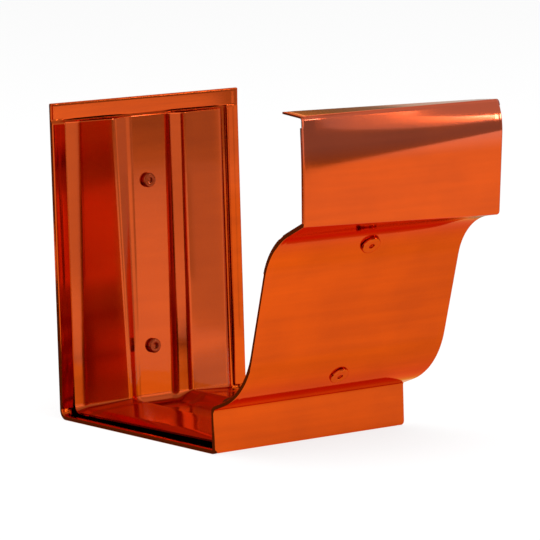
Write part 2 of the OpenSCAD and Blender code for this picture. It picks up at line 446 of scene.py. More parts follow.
def as_piece(mesh: BMesh, name: str) -> bpy.types.Object:
    """Makes a smooth-shaded object of a bmesh, frees the bmesh and sets the object on the body.

    Args:
        mesh: the finished mesh, in the frame.
        name: the piece's name.

    Returns:
        The new object.
    """
    for f in mesh.faces:
        f.smooth = True
    data = bpy.data.meshes.new(name)
    mesh.to_mesh(data)
    mesh.free()
    piece = bpy.data.objects.new(name, data)
    bpy.context.scene.collection.objects.link(piece)
    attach(piece, "root")
    return piece


@dataclass
class OuterShell:
    """The folded outer sheet with its three hems.

    The hems of the two ends are wider on the wall and stand open there, by one amount at their
    fold and another at their raw edge. The hem along the wall's top, the band, gets thicker
    towards its fold by its lean. Off the wall the end hems bulge a little beside a pinched line.
    The reaches, the slack and the probe only serve to tell where a point lies.
    """

    section: Section
    hem: float = 0.0025
    wall_hem: float = 0.0043
    near_lifts: Tuple[float, float] = (0.0006, 0.0011)
    far_lifts: Tuple[float, float] = (0.0, 0.0005)
    band_lean: float = 0.00017
    lift_fade: float = 0.014
    band: float = 0.0051
    band_step: float = 0.0008
    bulge: float = 0.0002
    bulge_at: float = 0.0009
    pinch: float = 0.00004
    pinch_at: float = 0.0018
    edge_guard: float = 0.0003
    spans: int = 14
    fold_round: float = 0.0005
    fold_segments: int = 5
    raw_round: float = 0.00006
    raw_segments: int = 2
    wall_reach: float = 0.002
    front_reach: float = 0.02
    slack: float = 1e-5
    probe: float = 1e-4

    def stations(self) -> List[float]:
        """Lists the distances from the near end at which a section line is drawn.

        Returns:
            The distances in rising order.
        """
        near = [0.0, self.bulge_at, self.pinch_at, self.hem - self.edge_guard, self.hem,
                self.hem + self.edge_guard, self.wall_hem - self.edge_guard, self.wall_hem,
                self.wall_hem + self.edge_guard]
        run = self.section.run
        inner = [mix(near[-1], run - near[-1], k / self.spans) for k in range(1, self.spans)]
        return near + inner + [run - x for x in reversed(near)]

    def corners(self, x: float) -> List[Corner]:
        """Lists the shell's corners at a distance from the near end.

        Args:
            x: the distance.

        Returns:
            The corners in order, all inset a little on the pinched line.
        """
        share = x / self.section.run
        base = self.section.corners(share, loose=min(1.0, x / (2 * self.hem)))
        ease, lip = base[Bend.EASE].spot, base[Bend.LIP].spot
        stop = Corner(lip + (ease - lip).normalized() * self.section.stop_down(share))
        band = Corner(Vector((0.0, self.section.wall_height - self.band)))
        below = Corner(band.spot - Vector((0.0, self.band_step)))
        line = [base[Bend.WALL_TOP], band, below, *base[Bend.BACK:Bend.LIP], stop, *base[Bend.LIP:]]
        pinched = abs(min(x, self.section.run - x) - self.pinch_at) < NO_GAP
        return [replace(c, inset=self.pinch) for c in line] if pinched else line

    def build(self) -> bpy.types.Object:
        """Builds the sheet, folds its hems in and rounds their edges.

        Returns:
            The sheet's object.
        """
        sheet = Sheet(self.section)
        for x in self.stations():
            sheet.add_line(x, self.corners(x))
        sheet.face_outwards()
        inner = sheet.thicken(sheet.mesh.faces[:], lambda spot: self.section.sheet, keep=True)
        bmesh.ops.recalc_face_normals(sheet.mesh, faces=sheet.mesh.faces)
        leaves = [f for f in inner if self.is_hem(f.calc_center_median())]
        sheet.thicken(leaves, self.leaf, keep=False)
        bmesh.ops.recalc_face_normals(sheet.mesh, faces=sheet.mesh.faces)
        folds = [e for e in sheet.sharp_edges() if self.is_fold(e)]
        sheet.round_creases(folds, self.fold_round, self.fold_segments)
        sheet.round_creases(sheet.sharp_edges(), self.raw_round, self.raw_segments)
        return sheet.finish("shell_sheet")

    def leaf(self, spot: Vector) -> float:
        """Gives how far a folded leaf's inner side stands from the sheet's inner face at a spot.

        Args:
            spot: a point of the sheet's inner face, in the frame.

        Returns:
            The thickness of the leaf there, with the gap below it where it stands open.
        """
        section = self.section
        from_end = min(spot.x - section.low.x, section.high.x - spot.x)
        if not self.on_wall(spot):
            fade = abs(from_end - self.bulge_at) / (self.hem - self.bulge_at)
            return section.sheet + self.bulge * max(0.0, 1 - fade)
        band_foot = section.wall_height - self.band
        closed = section.sheet + self.band_lean * max(0.0, spot.z - band_foot) / self.band
        if from_end > self.wall_hem + NO_GAP:
            return closed
        under = (band_foot - spot.z) / self.band_step
        above = (spot.z - section.back_radius) / self.lift_fade
        open_share = max(0.0, min(1.0, under, above))
        at_near = spot.x - section.low.x < section.run / 2
        fold, raw = self.near_lifts if at_near else self.far_lifts
        return closed + open_share * mix(fold, raw, from_end / self.wall_hem)

    def by_wall(self, spot: Vector) -> bool:
        """Tells whether a point lies within reach of the back wall's outside."""
        return spot.y > self.section.high.y - self.wall_reach

    def on_wall(self, spot: Vector) -> bool:
        """Tells whether a point lies on the straight part of the back wall."""
        return self.by_wall(spot) and spot.z > self.section.back_radius - self.slack

    def is_hem(self, spot: Vector) -> bool:
        """Tells whether a point of the inner face lies under a folded leaf.

        Args:
            spot: the point in the frame.

        Returns:
            Whether it does.
        """
        section = self.section
        if self.by_wall(spot) and spot.z > section.wall_height - self.band:
            return True
        from_near, from_far = spot.x - section.low.x, section.high.x - spot.x
        if self.on_wall(spot):
            return min(from_near, from_far) < self.wall_hem
        at_front = spot.y < section.low.y + self.front_reach
        for from_end, stop in ((from_near, section.stop_near), (from_far, section.stop_far)):
            if from_end < self.hem:
                return not (at_front and spot.z > section.lip_height - stop)
        return False

    def is_fold(self, edge: BMEdge) -> bool:
        """Tells whether an edge runs along a folded edge, either outside it or inside it.

        Args:
            edge: an edge of the mesh.

        Returns:
            Whether it does.
        """
        ends = [v.co for v in edge.verts]
        low, high = self.section.low.x, self.section.high.x
        top = self.section.wall_height
        inside = (ends[0] + ends[1]) / 2
        inside.x = max(low + self.probe, min(high - self.probe, inside.x))
        at_end = all(min(abs(p.x - low), abs(p.x - high)) < NO_GAP for p in ends)
        on_top = all(abs(p.z - top) < NO_GAP and self.by_wall(p) for p in ends)
        return on_top or (at_end and self.is_hem(inside))


@dataclass(frozen=True)
class Crease:
    """A line of the strip that follows the whole section.

    It has a distance from the strip's middle, a height above the seat at the wall's top and
    one on the floor and the front, and strays along the run at the top and at the wall's foot.
    """

    across: float
    on_wall: float
    on_floor: float
    stray_top: float = 0.0
    stray_low: float = 0.0


@dataclass(frozen=True)
class Wing:
    """One raised wing of the strip: its crest, its bowed slope and its rolled edge.

    The strays move those lines along the run, at the wall's top and at the wall's foot.
    """

    side: int
    edge: float
    crest: float = 0.0028
    wall_drop: float = 0.0013
    floor_drop: float = 0.0007
    wall_roll: float = 0.0015
    floor_roll: float = 0.0005
    crest_stray: Tuple[float, float] = (0.0, 0.0)
    edge_stray: Tuple[float, float] = (0.0, 0.0)
    raw_stray: Tuple[float, float] = (0.0, 0.0)
    slopes: int = 4
    slope_bow: float = 0.25

    def creases(self, inner: float, raw: float) -> List[Crease]:
        """Lists the wing's lines from its crest to its raw edge.

        Args:
            inner: distance of the crest from the strip's middle.
            raw: distance of the raw edge from the strip's middle.

        Returns:
            The lines, with distances signed by the wing's side.
        """
        lines = []
        for k in range(self.slopes + 1):
            share = k / self.slopes
            fall = share * (1 + self.slope_bow - self.slope_bow * share)
            stray = [mix(c, e, share) for c, e in zip(self.crest_stray, self.edge_stray)]
            lines.append(Crease(self.side * mix(inner, raw - self.edge, share),
                                self.crest - self.wall_drop * fall,
                                self.crest - self.floor_drop * fall, *stray))
        lines.append(Crease(self.side * raw, self.crest - self.wall_drop - self.wall_roll,
                            self.crest - self.floor_drop - self.floor_roll, *self.raw_stray))
        return lines


@dataclass
class InnerStrip:
    """The pressed strip inside the shell, with a sunk band, two steps and two sloped wings.

    The near step is wider than the far one by near_foot. The seat is the strip's outside face,
    measured in from the shell's.
    """

    section: Section
    width: float = 0.057
    shift: float = -0.0003
    sunk: float = 0.0152
    step: float = 0.00415
    near_foot: float = 0.0012
    seat: float = 0.0006
    top_gap: float = 0.0058
    end_gap: float = 0.0045
    back_more: float = 0.0013
    toe_more: float = 0.0018
    foot_round: float = 0.0018
    crest_round: float = 0.0009
    edge_round: float = 0.0004
    bend_segments: int = 8
    raw_round: float = 0.00006
    raw_segments: int = 2
    near_wing: Wing = Wing(-1, 0.0042, crest_stray=(-0.00125, 0.0016), edge_stray=(0.0006, -0.0010),
                           raw_stray=(0.0001, -0.0002))
    far_wing: Wing = Wing(1, 0.0026, edge_stray=(0.0, -0.0004), raw_stray=(-0.0012, -0.0012))

    @property
    def middle(self) -> float:
        """Gives the distance of the strip's middle from the near end."""
        return self.section.run / 2 + self.shift

    def creases(self) -> List[Crease]:
        """Lists the strip's lines across the run, from its near raw edge to its far one.

        Returns:
            The lines in order.
        """
        foot, crest, raw = self.sunk / 2, self.sunk / 2 + self.step, self.width / 2
        near = self.near_wing.creases(crest, raw)
        sunk = [Crease(x, 0.0, 0.0) for x in (self.near_foot - foot, 0.0, foot)]
        return near[::-1] + sunk + self.far_wing.creases(crest, raw)

    def corners(self, crease: Crease) -> List[Corner]:
        """Lists the strip's corners along one of its creases.

        Args:
            crease: the line that they lie on.

        Returns:
            The corners from the wall's top to the cove's end.
        """
        share = (self.middle + crease.across) / self.section.run
        base = self.section.corners(share, self.back_more, self.toe_more)
        way = (base[Bend.FOOT].spot - base[Bend.COVE].spot).normalized()
        top = Corner(Vector((0.0, self.section.wall_height - self.top_gap)))
        line = [top, *base[Bend.BACK:Bend.FOOT], Corner(base[Bend.FOOT].spot - way * self.end_gap)]
        rest = len(line) - 2
        heights = [crease.on_wall, mix(crease.on_wall, crease.on_floor, 0.5)] + [crease.on_floor] * rest
        strays = [crease.stray_top, crease.stray_low] + [0.0] * rest
        return [replace(c, inset=self.seat + h, slide=x) for c, h, x in zip(line, heights, strays)]

    def build(self) -> bpy.types.Object:
        """Builds the strip's skin line by line, rounds its creases and gives it its thickness.

        Returns:
            The strip's object.
        """
        sheet = Sheet(self.section)
        lines = self.creases()
        for crease in lines:
            sheet.add_line(self.middle + crease.across, self.corners(crease))
        sheet.face_outwards()
        bent = [(chain, here)
                for chain, before, here, after in zip(sheet.chains[1:], lines, lines[1:], lines[2:])
                if self.is_bent(before, here, after)]
        rounds = (self.foot_round, self.crest_round, self.edge_round)
        for size, edges in zip(rounds, self.sorted_bends(bent)):
            sheet.round_creases(edges, size, self.bend_segments)
        sheet.face_outwards()
        sheet.thicken(sheet.mesh.faces[:], lambda spot: self.section.sheet, keep=True)
        bmesh.ops.recalc_face_normals(sheet.mesh, faces=sheet.mesh.faces)
        sheet.round_creases(sheet.sharp_edges(), self.raw_round, self.raw_segments)
        return sheet.finish("strip_sheet")

    def sorted_bends(self, bent: Sequence[Tuple[List[BMVert], Crease]]) -> List[List[BMEdge]]:
        """Sorts the edges of bent lines into feet, crests and outer edges.

        Args:
            bent: each bent line with its vertices.

        Returns:
            The three lists of edges.
        """
        sorts: List[List[BMEdge]] = [[], [], []]
        for chain, line in bent:
            across = abs(line.across)
            kind = 0 if across <= self.sunk / 2 else 1 if across <= self.sunk / 2 + self.step else 2
            sorts[kind] += chain_edges(chain)
        return sorts

    @staticmethod
    def is_bent(before: Crease, here: Crease, after: Crease, least: float = 0.1) -> bool:
        """Tells whether the strip turns sharply enough at a line for a rounded crease there.

        Args:
            before: the line before.
            here: the line.
            after: the line after.
            least: the change of slope on the wall from which it is bent.

        Returns:
            Whether it does.
        """
        slope, next_slope = ((b.on_wall - a.on_wall) / (b.across - a.across)
                             for a, b in ((before, here), (here, after)))
        return abs(next_slope - slope) > least


@dataclass(frozen=True)
class RivetForm:
    """Sizes of one rivet: head outside, set end inside, and a shallow pin hole in each.

    Edges that turn by more than its sharp turn, in radians, are rounded.
    """

    shank: float = 0.0032
    head: float = 0.0058
    head_height: float = 0.0008
    tail: float = 0.0044
    tail_height: float = 0.0013
    pin: float = 0.0017
    pin_deep: float = 0.0006
    rounding: float = 0.0005
    round_steps: int = 6
    turn_steps: int = 48
    sharp_turn: float = 0.7
    sharp_round: float = 8e-5
    sharp_segments: int = 2
    merge_gap: float = 1e-7


class Rivet:
    """A rivet turned as one body and set through both sheets."""

    def __init__(self, form: RivetForm, grip: float, place: Matrix) -> None:
        """Holds the rivet's form and place.

        Args:
            form: the rivet's sizes.
            grip: distance from the head's underside to the set end.
            place: turn and place of the rivet in the frame.
        """
        self.form = form
        self.grip = grip
        self.place = place

    def outline(self) -> List[Tuple[float, float]]:
        """Lists the turned outline as radius and height, from the pin hole outside to inside.

        Returns:
            The points in order.
        """
        form, radius = self.form, self.form.rounding
        low, top, pin = -form.head_height, self.grip + form.tail_height, form.pin / 2
        points = [(0.0, low + form.pin_deep), (pin, low + form.pin_deep), (pin, low)]
        points += self.quarter(form.head / 2 - radius, low + radius, -90)
        points += [(form.head / 2, 0.0), (form.shank / 2, 0.0), (form.shank / 2, self.grip)]
        points += self.quarter(form.tail / 2 - radius, self.grip + radius, -90)
        points += self.quarter(form.tail / 2 - radius, top - radius, 0)
        points += [(pin, top), (pin, top - form.pin_deep), (0.0, top - form.pin_deep)]
        return points

    def quarter(self, x: float, z: float, start: float) -> List[Tuple[float, float]]:
        """Lists the points of a quarter round of the outline.

        Args:
            x: radius at which its middle lies.
            z: height at which its middle lies.
            start: its first angle in degrees.

        Returns:
            The points in order.
        """
        radius, steps = self.form.rounding, self.form.round_steps
        arc = (math.radians(start + 90 / steps * k) for k in range(steps + 1))
        return [(x + radius * math.cos(a), z + radius * math.sin(a)) for a in arc]

    def build(self, name: str) -> bpy.types.Object:
        """Turns the outline about the rivet's axis and sets it in place.

        Args:
            name: the piece's name.

        Returns:
            The rivet's object.
        """
        mesh, form = bmesh.new(), self.form
        points = self.outline()
        chain = [mesh.verts.new((points[0][0], 0.0, points[0][1]))]
        for x, z in points[1:]:
            made = bmesh.ops.extrude_vert_indiv(mesh, verts=[chain[-1]])
            made["verts"][0].co = Vector((x, 0.0, z))
            chain.append(made["verts"][0])
        bmesh.ops.spin(mesh, geom=chain + mesh.edges[:], cent=(0, 0, 0), axis=(0, 0, 1),
                       angle=math.tau, steps=form.turn_steps, use_merge=True)
        bmesh.ops.remove_doubles(mesh, verts=mesh.verts, dist=form.merge_gap)
        bmesh.ops.recalc_face_normals(mesh, faces=mesh.faces)
        sharp = [e for e in mesh.edges if e.is_manifold and e.calc_face_angle(0.0) > form.sharp_turn]
        bmesh.ops.bevel(mesh, geom=sharp, offset=form.sharp_round, offset_type="OFFSET",
                        segments=form.sharp_segments, profile=0.5, affect="EDGES",
                        clamp_overlap=True, material=-1)
        bmesh.ops.transform(mesh, matrix=self.place, verts=mesh.verts)
        return as_piece(mesh, name)


@dataclass(frozen=True)
class FrontSeat:
    """Where a front rivet sits: a share of one bend, the lift of its head and its longer grip."""

    bend: Bend
    along: float
    head_lift: float
    more_grip: float


class Fixings:
    """The four rivets that hold the strip to the shell, two on the wall and two on the front."""

    wall_heights = {"back_rivet_lower": 0.0186, "back_rivet_upper": 0.0687}
    front_seats = {"front_rivet_lower": FrontSeat(Bend.BELLY, 0.52, 0.0, 0.00013),
                   "front_rivet_upper": FrontSeat(Bend.COVE, 0.4, 0.00022, 0.00022)}
    sheet_gap = 5e-5

    def __init__(self, section: Section, middle: float) -> None:
        """Holds where the rivets go.

        Args:
            section: the section of the joint.
            middle: distance of the rivets from the near end.
        """
        self.section = section
        self.middle = middle
        self.stack = 2 * section.sheet + self.sheet_gap

    def turned(self, name: str, spot: Vector, inward: Vector, grip: float) -> bpy.types.Object:
        """Builds one rivet with its head on the shell.

        Args:
            name: the node that it stands for.
            spot: place of its head's underside in the section.
            inward: direction in the section from there into the trough.
            grip: distance from its head's underside to its set end.

        Returns:
            The rivet's object.
        """
        axis = Vector((0.0, -inward.x, inward.y))
        turn = Matrix((ALONG_RUN, axis.cross(ALONG_RUN), axis)).transposed().to_4x4()
        place = Matrix.Translation(self.section.place(self.middle, spot)) @ turn
        return Rivet(RivetForm(), grip, place).build(name + "_turned")

    def build(self) -> Dict[str, bpy.types.Object]:
        """Builds the four rivets.

        Returns:
            The rivets' objects, keyed by the node that each stands for.
        """
        made = {}
        for name, height in self.wall_heights.items():
            made[name] = self.turned(name, Vector((0.0, height)), Vector((1.0, 0.0)), self.stack)
        share = self.middle / self.section.run
        for name, seat in self.front_seats.items():
            spot, inward = self.section.on_bend(seat.bend, seat.along, share)
            spot -= inward * seat.head_lift
            made[name] = self.turned(name, spot, inward, self.stack + seat.more_grip)
        return made


@dataclass(frozen=True)
class Noise:
    """A noise pattern: its scale, its detail and its squeeze along each axis of the frame."""

    scale: float
    detail: float
    squeeze: Tuple[float, float, float] = (1.0, 1.0, 1.0)


class Slope(Enum):
    """How a mask rises: in a straight line, or soft at both ends."""

    STRAIGHT = "LINEAR"
    SOFT = "SMOOTHSTEP"


@dataclass(frozen=True)
class Rise:
    """A rise of a mask from 0 at its start to 1 at its end, along one axis of the frame."""

    axis: str
    start: float
    end: float
    slope: Slope = Slope.SOFT


class NodeTable:
    """A node tree with short ways to add and join nodes."""

    def __init__(self, tree: bpy.types.NodeTree) -> None:
        """Holds the tree."""
        self.tree = tree

    def add(self, kind: str, **values: object) -> bpy.types.Node:
        """Adds a node and sets its own properties.

        Args:
            kind: the node's type.
            values: its properties by name.

        Returns:
            The node.
        """
        node = self.tree.nodes.new(kind)
        for name, value in values.items():
            setattr(node, name, value)
        return node

    def join(self, source: bpy.types.NodeSocket, target: bpy.types.NodeSocket) -> None:
        """Links an output to an input."""
        self.tree.links.new(source, target)

    def maths(self, kind: str, a: object, b: object = 0.0, clamp: bool = False) -> bpy.types.NodeSocket:
        """Adds a Math node.

        Args:
            kind: its operation.
            a: its first value, or a socket.
            b: its second value, or a socket.
            clamp: whether the result stays from 0 to 1.

        Returns:
            The node's output.
        """
        node = self.add("ShaderNodeMath", operation=kind, use_clamp=clamp)
        for socket, value in zip(node.inputs, (a, b)):
            if isinstance(value, bpy.types.NodeSocket):
                self.join(value, socket)
            else:
                socket.default_value = value
        return node.outputs[0]

    def mask(self, place: bpy.types.Node, rises: Sequence[Rise]) -> bpy.types.NodeSocket:
        """Multiplies rises to a mask.

        Args:
            place: Separate XYZ node on the coordinates.
            rises: the mask's rises.

        Returns:
            The mask's output.
        """
        parts = []
        for rise in rises:
            node = self.add("ShaderNodeMapRange", interpolation_type=rise.slope.value)
            node.inputs["From Min"].default_value = rise.start
            node.inputs["From Max"].default_value = rise.end
            self.join(place.outputs[rise.axis], node.inputs["Value"])
            parts.append(node.outputs["Result"])
        return reduce(lambda a, b: self.maths("MULTIPLY", a, b), parts)

    def noise(self, vector: bpy.types.NodeSocket, pattern: Noise) -> bpy.types.NodeSocket:
        """Adds a Noise Texture on squeezed coordinates.

        Args:
            vector: the coordinates.
            pattern: the noise and its squeeze.

        Returns:
            The noise's output, from 0 to 1.
        """
        mapping = self.add("ShaderNodeMapping")
        mapping.inputs["Scale"].default_value = pattern.squeeze
        self.join(vector, mapping.inputs["Vector"])
        noise = self.add("ShaderNodeTexNoise")
        noise.inputs["Scale"].default_value = pattern.scale
        noise.inputs["Detail"].default_value = pattern.detail
        self.join(mapping.outputs[0], noise.inputs["Vector"])
        return noise.outputs["Fac"]


@dataclass(frozen=True)
class SheetMarks:
    """The shared group of marks of the copper sheet.

    It puts out a cloudy, streaked tone with painted shade that darkens the lower front towards
    the far end, a dulling for the roughness, waves and grain for bumps, a gloss that is highest
    on the top roll, and a bow that rises towards the wall's foot.
    """

    inputs: Tuple[str, ...] = ("Clouds", "Streaks")
    outputs: Tuple[str, ...] = ("Tone", "Dulling", "Waves", "Grain", "Gloss", "Bow")
    clouds: Noise = Noise(70.0, 4.0)
    streaks: Noise = Noise(40.0, 3.0, (0.6, 9.0, 9.0))
    dulling: Noise = Noise(160.0, 5.0, (0.5, 2.0, 2.0))
    waves: Noise = Noise(28.0, 1.0)
    grain: Noise = Noise(260.0, 2.0, (0.3, 4.0, 4.0))
    noise_middle: float = 0.5
    plain_tone: float = 0.62
    # Painted shade: the tone drops by this much on the lower front, more towards the far end, for less
    # light reflected there.
    painted_shade_loss: float = 0.5
    painted_shade_front: Tuple[Rise, ...] = (Rise("Z", 0.068, 0.060), Rise("Y", 0.03, 0.0),
                              Rise("X", -0.025, 0.03, Slope.STRAIGHT))
    plain_gloss: float = 0.05
    upper_gloss: float = 0.09
    upper: Tuple[Rise, ...] = (Rise("Z", 0.058, 0.068),)
    roll_gloss: float = 0.72
    on_roll: Tuple[Rise, ...] = (Rise("Z", 0.083, 0.090), Rise("Z", 0.0976, 0.0968),
                                 Rise("Y", -0.055, -0.06))
    wall_foot: Tuple[Rise, ...] = (Rise("Z", 0.018, 0.004, Slope.STRAIGHT), Rise("Y", 0.05, 0.055))

    def tone(self, table: NodeTable, spot: bpy.types.NodeSocket, place: bpy.types.Node,
             given: bpy.types.Node) -> bpy.types.NodeSocket:
        """Builds the tone.

        Args:
            table: the group's nodes.
            spot: the coordinates.
            place: Separate XYZ node on the coordinates.
            given: the group's input node, with the strength of each pattern.

        Returns:
            The tone's output.
        """
        parts = []
        for name, pattern in zip(self.inputs, (self.clouds, self.streaks)):
            swing = table.maths("SUBTRACT", table.noise(spot, pattern), self.noise_middle)
            parts.append(table.maths("MULTIPLY", swing, given.outputs[name]))
        # Painted shade on the lower front, darker towards the far end.
        loss = table.maths("MULTIPLY", table.mask(place, self.painted_shade_front), self.painted_shade_loss)
        base = table.maths("SUBTRACT", self.plain_tone, loss)
        return table.maths("ADD", table.maths("ADD", *parts), base, clamp=True)

    def gloss(self, table: NodeTable, place: bpy.types.Node) -> bpy.types.NodeSocket:
        """Builds the gloss: a plain share, more of it high up, and most on the top roll.

        Args:
            table: the group's nodes.
            place: Separate XYZ node on the coordinates.

        Returns:
            The gloss's output.
        """
        upper = table.maths("MULTIPLY", table.mask(place, self.upper), self.upper_gloss)
        roll = table.maths("MULTIPLY", table.mask(place, self.on_roll), self.roll_gloss)
        return table.maths("ADD", roll, table.maths("ADD", upper, self.plain_gloss))

    def build(self) -> bpy.types.NodeTree:
        """Builds the group of marks.

        Returns:
            The group, with its named inputs and outputs.
        """
        group = bpy.data.node_groups.new("sheet_marks", "ShaderNodeTree")
        for way, names in (("INPUT", self.inputs), ("OUTPUT", self.outputs)):
            for name in names:
                group.interface.new_socket(name=name, in_out=way, socket_type="NodeSocketFloat")
        table = NodeTable(group)
        given = table.add("NodeGroupInput")
        result = table.add("NodeGroupOutput")
        spot = table.add("ShaderNodeTexCoord").outputs["Object"]
        place = table.add("ShaderNodeSeparateXYZ")
        table.join(spot, place.inputs[0])
        low = table.mask(place, self.wall_foot)
        made = (self.tone(table, spot, place, given), table.noise(spot, self.dulling),
                table.noise(spot, self.waves), table.noise(spot, self.grain),
                self.gloss(table, place), table.maths("MULTIPLY", low, low))
        for name, socket in zip(self.outputs, made):
            table.join(socket, result.inputs[name])
        return group


@dataclass(frozen=True)
class CopperFinish:
    """A copper surface: its two tones, how rough it is and how strong its marks are.

    The coat is a thin clear gloss. A finish that gives no coat takes it from the marks.
    """

    name: str
    bright: Colour
    dull: Colour
    rough_low: float
    rough_high: float
    coat: Optional[float] = None
    coat_rough: float = 0.07
    coat_ior: float = 1.7
    clouds: float = 1.0
    streaks: float = 1.0
    wave_height: float = 0.00004
    bow_height: float = 0.0
    grain_height: float = 0.000002
    edge_tint: Colour = (0.95, 0.46, 0.05)

    def material(self, marks: bpy.types.NodeTree) -> bpy.types.Material:
        """Builds the material on the shared group of sheet marks.

        Args:
            marks: the shared group.

        Returns:
            The material.
        """
        made = bpy.data.materials.new(self.name)
        made.use_nodes = True
        table = NodeTable(made.node_tree)
        shader = made.node_tree.nodes["Principled BSDF"]
        shader.inputs["Metallic"].default_value = 1.0
        shader.inputs["Coat Roughness"].default_value = self.coat_rough
        shader.inputs["Coat IOR"].default_value = self.coat_ior
        shader.inputs["Specular Tint"].default_value = (*self.edge_tint, 1.0)
        group = table.add("ShaderNodeGroup", node_tree=marks)
        group.inputs["Clouds"].default_value = self.clouds
        group.inputs["Streaks"].default_value = self.streaks
        if self.coat is None:
            table.join(group.outputs["Gloss"], shader.inputs["Coat Weight"])
        else:
            shader.inputs["Coat Weight"].default_value = self.coat
        tint = table.add("ShaderNodeMix", data_type="RGBA")
        tint.inputs["A"].default_value = (*self.dull, 1.0)
        tint.inputs["B"].default_value = (*self.bright, 1.0)
        table.join(group.outputs["Tone"], tint.inputs["Factor"])
        table.join(tint.outputs["Result"], shader.inputs["Base Color"])
        rough = table.add("ShaderNodeMapRange")
        rough.inputs["To Min"].default_value = self.rough_low
        rough.inputs["To Max"].default_value = self.rough_high
        table.join(group.outputs["Dulling"], rough.inputs["Value"])
        table.join(rough.outputs["Result"], shader.inputs["Roughness"])
        table.join(self.relief(table, group), shader.inputs["Normal"])
        return made

    def relief(self, table: NodeTable, group: bpy.types.Node) -> bpy.types.NodeSocket:
        """Adds one bump after another, for the waves, the bow and the grain.

        Args:
            table: the material's nodes.
            group: the material's node of the shared group.

        Returns:
            The last bump's normal.
        """
        heights = {"Waves": self.wave_height, "Bow": self.bow_height, "Grain": self.grain_height}
        bumps = [table.add("ShaderNodeBump") for _ in heights]
        for bump, (mark, height) in zip(bumps, heights.items()):
            bump.inputs["Distance"].default_value = height
            table.join(group.outputs[mark], bump.inputs["Height"])
        for before, after in zip(bumps, bumps[1:]):
            table.join(before.outputs["Normal"], after.inputs["Normal"])
        return bumps[-1].outputs["Normal"]


class Finish(Enum):
    """The finishes of the joint's pieces."""

    SHELL = CopperFinish("rolled_copper", (0.77, 0.090, 0.003), (0.58, 0.066, 0.004), 0.08, 0.13)
    STRIP = CopperFinish("strip_copper", (0.67, 0.082, 0.004), (0.58, 0.068, 0.004), 0.12, 0.18,
                         coat=0.22, bow_height=0.0011)
    RIVET = CopperFinish("rivet_copper", (0.72, 0.086, 0.004), (0.55, 0.064, 0.005), 0.14, 0.22,
                         coat=0.05)
    # The set ends' darker copper is painted shade, standing in for the shade on them inside the trough.
    SET_END = CopperFinish("set_end_copper", (0.40, 0.050, 0.008), (0.24, 0.032, 0.008), 0.20, 0.32,
                           coat=0.1)


@dataclass(frozen=True)
class Viewpoint:
    """The photograph's camera, solved from the joint's corner points."""

    spot: Tuple[float, float, float] = (-0.6111, -0.8631, 0.1885)
    yaw: float = 35.263
    pitch: float = -7.608
    roll: float = -1.647
    focal: float = 248.4
    film: float = 36.0
    clip_start: float = 0.01

    def build(self) -> None:
        """Makes the camera and gives it to the scene."""
        yaw, pitch, roll = (math.radians(v) for v in (self.yaw, self.pitch, self.roll))
        flat = math.cos(pitch)
        ahead = Vector((math.sin(yaw) * flat, math.cos(yaw) * flat, math.sin(pitch)))
        level = Vector((math.cos(yaw), -math.sin(yaw), 0.0))
        above = level.cross(ahead)
        right = level * math.cos(roll) + above * math.sin(roll)
        up = above * math.cos(roll) - level * math.sin(roll)
        data = bpy.data.cameras.new("viewpoint")
        data.lens = self.focal
        data.sensor_width = self.film
        data.clip_start = self.clip_start
        camera = bpy.data.objects.new("viewpoint", data)
        turned = Matrix((right, up, -ahead)).transposed().to_4x4()
        camera.matrix_world = Matrix.Translation(self.spot) @ turned
        bpy.context.scene.collection.objects.link(camera)
        bpy.context.scene.camera = camera


@dataclass(frozen=True)
class Card:
    """A plain upright studio card that only shows in reflections. Its foot is at its spot."""

    name: str
    spot: Tuple[float, float, float]
    azimuth: float
    width: float
    height: float
    tone: float


@dataclass(frozen=True)
class Softbox:
    """A soft rectangular lamp. Its glow is the radiance of its face, and a mirrored one is reflected."""

    name: str
    spot: Tuple[float, float, float]
    aim: Tuple[float, float, float]
    width: float
    height: float
    glow: float
    mirrored: bool


